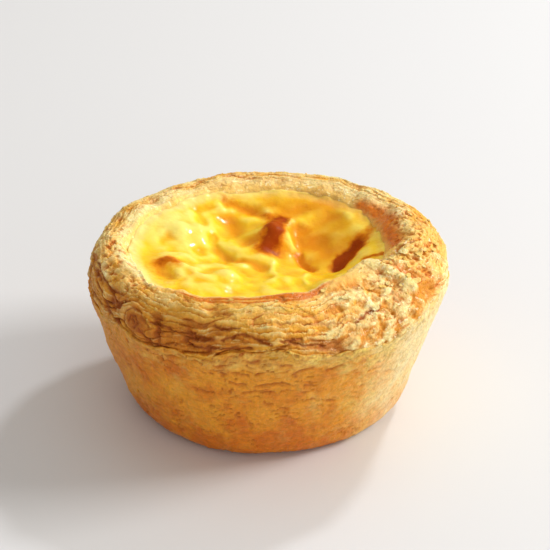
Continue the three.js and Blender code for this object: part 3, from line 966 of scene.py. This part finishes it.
# x and y of its middle, how far it reaches, and how far it rises, in mm.
SKIN_FORMS = {
    "groove behind": (-8, 21.5, 3.4, -1.0),
    "pit at the back left": (-13.5, 21, 2.2, -0.9),
    "left dome": (-19.5, 11.5, 5.5, 1.9),
    "browned blister": (1.2, 11, 3.4, 2.4),
    "long basin": (-8, 13.5, 5.0, -1.6),
    "peak beside the basin": (-12.6, 11.5, 2.0, 1.0),
    "back right lobe": (20, 13, 4.6, 1.5),
    "right basin": (11.5, 2.5, 9.0, -3.0),
    "pit in the middle": (-9.2, 1.5, 2.5, -1.2),
    "saddle": (-3, 4, 3.6, 0.8),
    "left blister": (-19.5, -3.4, 3.6, 1.6),
    "front left dome": (-15.5, -12, 5.0, 1.6),
    "front dome": (-8.6, -7, 3.2, 1.3),
    "front pit": (-3.2, -5, 2.8, -1.0),
    "front right slope": (8, -15, 7.0, -0.8),
}

# Narrower folds and creases of the skin: the line that each follows, in x and y, its width and its rise.
SKIN_FOLDS = {
    "back left valley": (((-16.1, 20.5), (-13.9, 14.8), (-11.9, 9.9), (-11.2, 7.2)), 1.2, -0.7),
    "basin's left edge": (((-13.0, 15.8), (-12.2, 12.4), (-10.4, 10.2)), 1.4, 0.3),
    "basin's lower edge": (((-10.3, 9.7), (-6.8, 6.9), (-4.6, 4.0), (-1.5, 2.4)), 1.5, -0.1),
    "middle pit": (((-10.2, 5.2), (-8.4, 3.2)), 1.6, -0.5),
    "between the pits": (((-7.9, 0.8), (-5.6, -1.6)), 1.0, 0.3),
    "lower pit": (((-5.0, 1.2), (-1.6, -0.8)), 1.5, -0.5),
    "browned blister": (((1.6, 16.5), (1.0, 11.5), (-0.4, 7.0)), 2.4, 0.4),
    "blister's crest": (((4.6, 15.5), (3.6, 10.8), (4.2, 8.8), (5.7, 6.6)), 0.8, 0.45),
    "behind the crest": (((6.8, 13.4), (6.4, 9.5)), 1.6, -0.6),
    "back groove": (((-9.0, 23.6), (-4.0, 21.0), (0.2, 17.5)), 1.6, -0.7),
    "ridge by the back pit": (((-10.8, 22.6), (-10.2, 20.4)), 1.1, 0.6),
    "crease": (((6.3, 6.0), (7.4, 3.4), (9.4, 1.2)), 1.0, -0.7),
    "right streak": (((14.0, 0.6), (16.2, 3.2), (18.4, 6.0), (20.6, 7.8), (22.4, 9.4)), 1.5, -0.9),
    "right of the streak": (((19.6, 2.0), (22.4, 4.4)), 1.8, 0.6),
    "lobe's edge": (((14.6, 18.0), (17.2, 14.2)), 1.0, 0.4),
    "front line": (((1.6, 0.8), (0.6, -2.6), (1.6, -5.4), (1.0, -8.4)), 0.9, 0.36),
    "front right line": (((8.3, -3.4), (7.3, -5.8), (7.9, -8.6)), 0.9, 0.28),
    "left blister's edge": (((-21.6, -0.4), (-17.8, 0.0), (-15.0, -2.0)), 1.1, 0.4),
    "left blister's ridge": (((-18.6, -4.2), (-16.8, -5.2), (-14.5, -7.0)), 1.1, 0.5),
    "front left valley": (((-22.0, -8.5), (-17.5, -11.5)), 1.8, -0.6),
    "front left fold": (((-14.6, -8.6), (-11.5, -10.5), (-8.5, -12.6)), 1.1, 0.4),
}


def spot(x, y, middle_x, middle_y, length, width=None, runs=0.0):
    """A soft round or drawn-out spot: 1 at its middle, and small beyond its length and width."""
    turn = math.radians(runs)
    forward = (x - middle_x) * math.cos(turn) + (y - middle_y) * math.sin(turn)
    aside = (y - middle_y) * math.cos(turn) - (x - middle_x) * math.sin(turn)
    return np.exp(-((forward / length) ** 2) - (aside / (width or length)) ** 2)


def skin_height(x, y):
    """Height of the custard's skin."""
    angle = np.degrees(np.arctan2(y, x))
    out = np.hypot(x, y) / (lip_radius(angle) + INTO_THE_PASTRY)
    flat_place = np.stack([x, y, 0 * x], axis=-1)
    height = mix(LIP_HEIGHT - CUSTARD_SAG, lip_height(angle), out**2)
    free = 1 - np.minimum(out, 1) ** 6  # the skin is held at its edge
    for middle_x, middle_y, reach, rise in SKIN_FORMS.values():
        height = height + free * rise * spot(x, y, middle_x, middle_y, reach)
    bent_x = x + 0.5 * lumps(flat_place, 2.2, 304)
    bent_y = y + 0.5 * lumps(flat_place, 2.2, 305)
    for corners, width, rise in SKIN_FOLDS.values():
        height = height + free * rise * along_line(bent_x, bent_y, corners, width)
    ripple = np.sin(0.5 * x + 0.21 * y + 1.3) * np.sin(0.6 * y - 0.13 * x + 0.4)
    ripple = ripple + 0.6 * np.sin(0.83 * x - 0.35 * y + 2.1) * np.sin(0.31 * x + 0.77 * y)
    taut = as_share(spot(x, y, 11, 5, 12.0) + spot(x, y, -7, 14, 4.0))  # the basins' skin
    uneven = lumpy(flat_place, ((0.38, 4.2, 301), (0.13, 2.0, 302), (0.09, 1.3, 306), (0.03, 0.8, 303)))
    return height + free * (CUSTARD_WAVE * ripple + (1 - 0.7 * taut) * uneven)


skin_angles = np.arange(SKIN_STEPS) * 360 / SKIN_STEPS
skin_cosine, skin_sine = np.cos(np.radians(skin_angles)), np.sin(np.radians(skin_angles))
skin_edge = lip_radius(skin_angles) + INTO_THE_PASTRY
ring_shares = (1 - np.arange(SKIN_ROWS) / SKIN_ROWS)[:, None]
skin_x = ring_shares * skin_edge * skin_cosine
skin_y = ring_shares * skin_edge * skin_sine
skin = skin_height(skin_x, skin_y)
# How far each place lies below the skin round it, in mm.
around = [(math.cos(turn), math.sin(turn)) for turn in np.arange(8) * math.pi / 4]
sunken = sum(skin_height(skin_x + HOLLOW_REACH * x, skin_y + HOLLOW_REACH * y) for x, y in around) / 8 - skin
edge_place = np.stack([skin_x, skin_y, 0 * skin_x], axis=-1)
climbs = 0.3 + lumpy(edge_place, ((0.3, 2.6, 306), (0.2, 1.1, 307)))
skin = skin + climbs * bell((1 - ring_shares) * LIP_RADIUS / CLIMB_REACH)

floor_radius, floor_height = FLOOR_RADIUS - FLOOR_GAP, FLOOR_HEIGHT + FLOOR_GAP
side_radius = mix(floor_radius, skin_edge, SIDE_SHARE)
side_height = mix(FLOOR_HEIGHT, lip_height(skin_angles) - UNDER_LIP, SIDE_SHARE)
custard_rows = [(0, floor_height), (floor_radius, floor_height), (side_radius, side_height)]
under = [
    np.stack([radius * skin_cosine, radius * skin_sine, height + 0 * skin_sine], axis=-1)
    for radius, height in custard_rows
]
pole = np.stack([0 * skin_sine, 0 * skin_sine, 0 * skin_sine + np.mean(skin[-1])], axis=-1)
custard_points = np.concatenate([np.stack(under), np.stack([skin_x, skin_y, skin], axis=-1), pole[None]])

place_x, place_y = custard_points[..., 0], custard_points[..., 1]
wander = lumpy(custard_points, ((0.6, 2.4, 311), (0.3, 0.9, 312)))
stain_x, stain_y = place_x + wander, place_y - wander
place_angle = np.degrees(np.arctan2(place_y, place_x))
at_edge = np.hypot(place_x, place_y) / lip_radius(skin_angles) + 0.02 * lumps(custard_points, 1.6, 315)
hollows = np.zeros(place_x.shape)
hollows[len(under) : -1] = np.clip(sunken / FULL_HOLLOW, -1, 1)

# Where the skin scorched: how strongly, the line in x and y, and its width.
SCORCHES = (
    (1.2, ((2.6, 16.6), (1.8, 12.4)), 1.9),
    (1.2, ((1.0, 9.6), (0.0, 5.6)), 2.5),
    (1.4, ((14.8, 1.2), (16.2, 3.2)), 1.8),
    (0.7, ((16.2, 3.2), (18.4, 6.0)), 2.0),
    (0.5, ((18.4, 6.0), (20.6, 7.8), (22.6, 9.6)), 1.9),
    (0.75, ((-21.8, -3.9), (-20.0, -3.7), (-18.2, -4.6)), 1.7),
    (0.5, ((6.6, 5.4), (7.6, 3.0), (9.2, 1.4)), 1.2),
    (0.4, ((-9.0, 23.8), (-4.0, 21.2), (0.5, 17.5)), 1.4),
    (0.7, ((19.6, -0.9), (22.4, -1.2), (23.8, -1.4)), 0.7),
    (0.3, ((-22.5, -7.0), (-19.0, -12.0)), 2.6),
    (0.3, ((7.5, 13.5), (9.5, 9.0)), 2.4),
)
scorched = 0.7 * step_up(0.965, 1.0, at_edge) * swelling(place_angle, -98, 34)
for strength, corners, width in SCORCHES:
    scorched = scorched + strength * along_line(stain_x, stain_y, corners, width)
# The amber mark is partly the custard's own deeper yellow and partly painted shade. The painted shade lies in
# its hollows, over the right basin and the back slope, on the shaded side of the ridge by the pits and under
# the left blister.
amber = (
    1.0 * spot(place_x, place_y, 11.0, 8.5, 11.0, 9.0, 60)
    + 0.45 * spot(place_x, place_y, 7.0, -2.0, 5.0, 4.0, 0)
    + 0.55 * along_line(place_x, place_y, ((-8.5, 17.0), (-5.5, 12.5), (-3.0, 9.5)), 2.8)
    + 0.80 * spot(place_x, place_y, 5.0, 22.5, 16.0, 5.0, 0)
    + 0.5 * hollows
    + 0.5 * along_line(place_x, place_y, ((-10.8, 5.2), (-7.4, 2.0), (-4.6, 0.4), (-1.4, -1.6)), 2.0)
    + 0.5 * spot(place_x, place_y, -19.5, -6.5, 5.0, 3.5, -30)
    + 0.35 * lumps(custard_points, 4.0, 313)
    - 0.08
)
# The pale mark is paler skin on the left domes, partly its own colour and partly painted light. It is also
# paler on the crests, as painted highlight.
paler = (
    1.0 * spot(place_x, place_y, -20.0, 11.5, 8.5, 6.5, 100)
    + 0.4 * spot(place_x, place_y, -13.0, -8.0, 7.0)
    - 0.6 * hollows
    + 0.2 * lumps(custard_points, 4.0, 314)
    - 0.05
)
crusted = step_up(0.90, 0.985, at_edge) * (
    0.25 + 0.75 * swelling(place_angle, 160, 75) + 0.75 * swelling(place_angle, 230, 30)
)
custard_marks = {"pale": paler, "amber": amber, "crusted": crusted, "scorched": scorched}
custard_marks = {mark: as_share(values) for mark, values in custard_marks.items()}
custard = turned_mesh("egg_custard", custard_points, custard_marks)

# Baked custard: a wet, smooth protein skin over a cloudy yellow body, so it shines and glows.
CUSTARD_YELLOW = "#F8CB1C"
CUSTARD_CLOUDY = "#F8D53A"
CUSTARD_PALE = "#FBE57A"
CUSTARD_AMBER = "#E5980A"
CUSTARD_CRUSTED = "#F8DC86"
CUSTARD_BROWNED = "#DC8410"
CUSTARD_SCORCHED = "#9E3E00"
CLOUD_SIZE = 5.0
WRINKLE_SIZE = 0.8
WRINKLE_DEPTH = 0.2

skin_material, tree = bare_material("baked_egg_custard")
place = add_node(tree, "TexCoord", {}, "Object")
clouds, wrinkles = (
    add_node(tree, "TexNoise", {"Vector": place, "Scale": 1 / (size * MM), "Detail": 3, "Roughness": detail})
    for size, detail in ((CLOUD_SIZE, 0.55), (WRINKLE_SIZE, 0.5))
)
cloudiness = add_node(tree, "MapRange", {"Value": clouds, "From Min": 0.4, "From Max": 0.65, "To Max": 0.8})
body = {AMOUNT: cloudiness, UNDER: colour(CUSTARD_YELLOW), OVER: colour(CUSTARD_CLOUDY)}
laid = add_node(tree, "Mix", body, MIXED, data_type="RGBA")
# The pale and amber marks hold painted highlight and painted shade besides the custard's own colour.
laid = lay_marks(tree, laid, {"pale": CUSTARD_PALE, "amber": CUSTARD_AMBER, "crusted": CUSTARD_CRUSTED})
scorched_mark = add_node(tree, "Attribute", {}, "Fac", attribute_name="scorched")
uneven_scorch = add_node(tree, "Math", {0: wrinkles, 1: 0.5, 2: -0.25}, operation="MULTIPLY_ADD")
scorch = add_node(tree, "Math", {0: scorched_mark, 1: uneven_scorch}, operation="ADD")
for start, end, tint in ((0.1, 0.55, CUSTARD_BROWNED), (0.5, 0.95, CUSTARD_SCORCHED)):
    amount = add_node(tree, "MapRange", {"Value": scorch, "From Min": start, "From Max": end})
    laid = add_node(tree, "Mix", {AMOUNT: amount, UNDER: laid, OVER: colour(tint)}, MIXED, data_type="RGBA")
# The skin is wet, and dry where it scorched.
roughness = {"Value": clouds, "From Min": 0.3, "From Max": 0.7, "To Min": 0.30, "To Max": 0.45}
wetness = {"Value": scorch, "From Min": 0.1, "From Max": 0.6, "To Min": 0.4, "To Max": 0.06}
skin_surface = {
    "Base Color": laid,
    "Roughness": add_node(tree, "MapRange", roughness),
    "Normal": add_node(tree, "Bump", {"Height": wrinkles, "Strength": 0.45, "Distance": WRINKLE_DEPTH * MM}),
    "IOR": 1.4,
    "Subsurface Weight": 0.6,
    "Subsurface Radius": (1.0, 0.85, 0.4),
    "Subsurface Scale": 1.0 * MM,
    "Specular IOR Level": 0.05,
    "Coat Weight": add_node(tree, "MapRange", wetness),
    "Coat Roughness": 0.05,
}
skin_surface = add_node(tree, "BsdfPrincipled", skin_surface, subsurface_method="RANDOM_WALK")
add_node(tree, "OutputMaterial", {"Surface": skin_surface})
custard.data.materials.append(skin_material)
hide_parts("custard")
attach(custard, "root")

# ---- Loose flakes and crumbs ----------------------------------------------------------------
# Scraps of the crispest layers that broke off and stayed where they fell on the rim: thin curled
# flakes, and crumbs no larger than coarse salt. Each is set a little into the surface under it.
FLAKE_COUNT = 36
CRUMB_COUNT = 120
FLAKE_THICKNESS = 0.12
FLAKE_LIFT = 0.08  # how far a flake's middle stands above the surface
CRUMB_LIFT = 0.35  # the same for a crumb, as a share of its half size
FLAKE_LONG, FLAKE_WIDE = 7, 5  # points along and across one flake
CRUMB_ROUND, CRUMB_UP = 7, 4  # points round a crumb, and rings between its ends
SEED = 7
random = np.random.default_rng(SEED)

scrap_across = np.concatenate([lower_across, upper_across])
scrap_points = np.concatenate([lower_points[:RIM_ROWS], upper_points[:RIM_ROWS]])
scrap_off = np.concatenate([lower_off, upper_off])
scrap_crumbly = np.concatenate([lower_crumbly, upper_crumbly])
on_top = step_up(4.0, 7.0, scrap_across) * step_up(BAND_WIDTH + 2.5, BAND_WIDTH, scrap_across)
on_top = on_top * (1 - 0.95 * swelling(rim_angles, 70, 45))


def places_on_rim(count, weight):
    """Random places on the rim, each as likely as its weight, and three directions there: two along the rim's
    surface and one off it."""
    chosen = random.choice(weight.size, size=count, replace=False, p=(weight / weight.sum()).ravel())
    rows, steps = np.unravel_index(chosen, weight.shape)
    off = scrap_off[rows, steps]
    # A scrap lies on the broad slope of the rim and not on one leaf's edge, so its tilt is a mean one.
    turned = np.radians(rim_angles[steps])
    outwards = np.stack([np.cos(turned), np.sin(turned)], axis=-1)
    lean = np.clip((BAND_WIDTH - scrap_across[rows, steps]) / BAND_WIDTH, -0.25, 1.0)
    broad = np.stack([outwards[:, 0] * lean, outwards[:, 1] * lean, 1.02 - 0.8 * lean], axis=-1)
    up = unit(0.35 * off + unit(broad))
    turn = random.uniform(-0.7, 0.7, count)[:, None]
    level_way = np.stack([-outwards[:, 1], outwards[:, 0], 0 * outwards[:, 0]], axis=-1)
    ahead = unit(level_way - up * np.sum(level_way * up, axis=-1, keepdims=True))
    aside = np.cross(up, ahead)
    ahead, aside = ahead * np.cos(turn) + aside * np.sin(turn), aside * np.cos(turn) - ahead * np.sin(turn)
    return scrap_points[rows, steps], ahead, aside, up


def joined_mesh(name, points, faces, cream):
    """Adds one mesh of many like scraps. points has a scrap and a point axis, and faces are one scrap's."""
    count, each = points.shape[:2]
    all_faces = (np.arange(count)[:, None, None] * each + np.array(faces)[None]).reshape(-1, len(faces[0]))
    return add_mesh(name, points.reshape(-1, 3), all_faces.tolist(), {"cream": np.repeat(cream, each)})


flake_weight = 0.15 + swellings(rim_angles, ((1.6, 322, 22), (0.5, 0, 30)))
flake_weight = flake_weight * (1 - 0.98 * swelling(rim_angles, 309, 20) * step_up(9.4, 10.4, scrap_across))
flake_weight = on_top * flake_weight
where, ahead, aside, up = places_on_rim(FLAKE_COUNT, flake_weight)
one_each = (FLAKE_COUNT, 1, 1)  # a number for each flake, for all of its points
long_half = random.uniform(0.4, 1.1, one_each) * random.uniform(0.7, 1.2, one_each)
wide_half = long_half * random.uniform(0.35, 0.7, one_each)
curl = random.uniform(0.0, 0.35, one_each)
twist = random.uniform(-0.3, 0.3, one_each)
long_share, wide_share = np.linspace(-1, 1, FLAKE_LONG)[:, None], np.linspace(-1, 1, FLAKE_WIDE)
torn_ends = random.uniform(0.75, 1.15, (FLAKE_COUNT, FLAKE_LONG, FLAKE_WIDE))
taper = np.sqrt(1.15 - long_share**2)
flake_x = long_half * long_share * np.where(np.abs(long_share) > 0.9, torn_ends, 1)
flake_y = wide_half * wide_share * taper * np.where(np.abs(wide_share) > 0.9, torn_ends, 1)
bent = curl * long_half * long_share**2 + twist * wide_half * long_share * wide_share + FLAKE_LIFT
sides = []
for side in (0.5, -0.5):
    flake_z = bent + side * FLAKE_THICKNESS
    sides.append(
        where[:, None, None]
        + flake_x[..., None] * ahead[:, None, None]
        + flake_y[..., None] * aside[:, None, None]
        + flake_z[..., None] * up[:, None, None]
    )
flake_points = np.stack(sides, axis=1).reshape(FLAKE_COUNT, -1, 3)
grid = np.arange(FLAKE_LONG * FLAKE_WIDE).reshape(FLAKE_LONG, FLAKE_WIDE)
corners = [part.ravel() for part in (grid[:-1, :-1], grid[1:, :-1], grid[1:, 1:], grid[:-1, 1:])]
flake_faces = np.stack(corners, axis=1).tolist()
flake_faces += (np.stack(corners[::-1], axis=1) + grid.size).tolist()
border = grid[0, :-1].tolist() + grid[:-1, -1].tolist() + grid[-1, :0:-1].tolist() + grid[:0:-1, 0].tolist()
for here, there in zip(border, border[1:] + border[:1]):
    flake_faces.append([here, there, there + grid.size, here + grid.size])
flakes = joined_mesh("loose_flakes", flake_points, flake_faces, random.uniform(0.2, 0.8, FLAKE_COUNT))

crumb_weight = on_top * (0.4 + scrap_crumbly + 0.4 * swelling(rim_angles, 320, 30))
where, ahead, aside, up = places_on_rim(CRUMB_COUNT, crumb_weight)
crumb_half = random.uniform(0.10, 0.24, CRUMB_COUNT)[:, None]
round_crumb = np.arange(CRUMB_ROUND) * 2 * math.pi / CRUMB_ROUND
rings = np.arange(1, CRUMB_UP + 1) * math.pi / (CRUMB_UP + 1)
ball = [(0.0, 0.0, 1.0)]
for down, turn in product(rings, round_crumb):
    ball.append((math.sin(down) * math.cos(turn), math.sin(down) * math.sin(turn), math.cos(down)))
ball = np.array(ball + [(0.0, 0.0, -1.0)])
knobbly = random.uniform(0.7, 1.2, (CRUMB_COUNT, len(ball)))
stretch = random.uniform(0.75, 1.3, (CRUMB_COUNT, 3))
crumb_local = ball[None] * knobbly[..., None] * stretch[:, None] * crumb_half[:, None]
crumb_points = (
    where[:, None]
    + crumb_local[..., :1] * ahead[:, None]
    + crumb_local[..., 1:2] * aside[:, None]
    + (crumb_local[..., 2:] + CRUMB_LIFT * crumb_half[:, None]) * up[:, None]
)
crumb_faces = []
for turn in range(CRUMB_ROUND):
    onward = (turn + 1) % CRUMB_ROUND
    crumb_faces.append([0, 1 + turn, 1 + onward])
    for ring in range(CRUMB_UP - 1):
        low, high = 1 + ring * CRUMB_ROUND, 1 + (ring + 1) * CRUMB_ROUND
        crumb_faces.append([low + turn, high + turn, high + onward])
        crumb_faces.append([low + turn, high + onward, low + onward])
    last = 1 + (CRUMB_UP - 1) * CRUMB_ROUND
    crumb_faces.append([last + turn, last + CRUMB_ROUND, last + onward])
crumb_scraps = joined_mesh("loose_crumbs", crumb_points, crumb_faces, random.uniform(0.0, 0.6, CRUMB_COUNT))
for scraps in (flakes, crumb_scraps):
    scraps.data.materials.append(open_layers)
    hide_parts("crust")
    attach(scraps, "root")

# ---- Table and light ------------------------------------------------------------------------
# A plain pale tabletop, lit by a broad window at the right and behind, and by a bright room.
TABLE_SIZE = 6.0  # metres, as the windows' places and sizes
TABLE_COLOUR = "#DBDEE3"
ROOM_COLOUR = "#F2E8DA"
ROOM_LIGHT = 0.52

bpy.ops.mesh.primitive_plane_add(size=TABLE_SIZE)
table = bpy.context.object
table.name = "tabletop"
table_top, tree = bare_material("matt_white_tabletop")
table_surface = {"Base Color": colour(TABLE_COLOUR), "Roughness": 0.5, "Specular IOR Level": 0.3}
table_surface = add_node(tree, "BsdfPrincipled", table_surface)
add_node(tree, "OutputMaterial", {"Surface": table_surface})
table.data.materials.append(table_top)

room = bpy.data.worlds.new("bright_room")
bpy.context.scene.world = room
room.use_nodes = True
background = room.node_tree.nodes["Background"].inputs
background["Color"].default_value = colour(ROOM_COLOUR)
background["Strength"].default_value = ROOM_LIGHT


def add_window(name, place, size, power, tint):
    """A soft rectangular light that faces the tart."""
    lamp = bpy.data.lights.new(name, "AREA")
    lamp.shape = "RECTANGLE"
    lamp.size, lamp.size_y = size
    lamp.energy = power
    lamp.color = colour(tint)[:3]
    made = bpy.data.objects.new(name, lamp)
    bpy.context.scene.collection.objects.link(made)
    away = np.array(place) - np.array((0, 0, TART_MIDDLE_HEIGHT))
    made.location = place
    made.rotation_euler = (
        math.atan2(math.hypot(away[0], away[1]), away[2]),
        0,
        math.atan2(away[1], away[0]) + math.pi / 2,
    )


add_window("window", (0.78, 0.12, 0.50), (0.34, 0.34), 6.8, "#FFFBF5")
add_window("bright_pane", (0.42, 0.57, 0.70), (0.09, 0.09), 3.0, "#FFFFFF")
add_window("ceiling", (0.0, 0.1, 1.0), (0.9, 0.9), 1.0, "#FFFFFF")
add_window("white_wall_in_front", (0.30, -0.80, 0.25), (0.6, 0.6), 1.6, "#FFFFFF")

bpy.context.scene.view_settings.view_transform = "Standard"
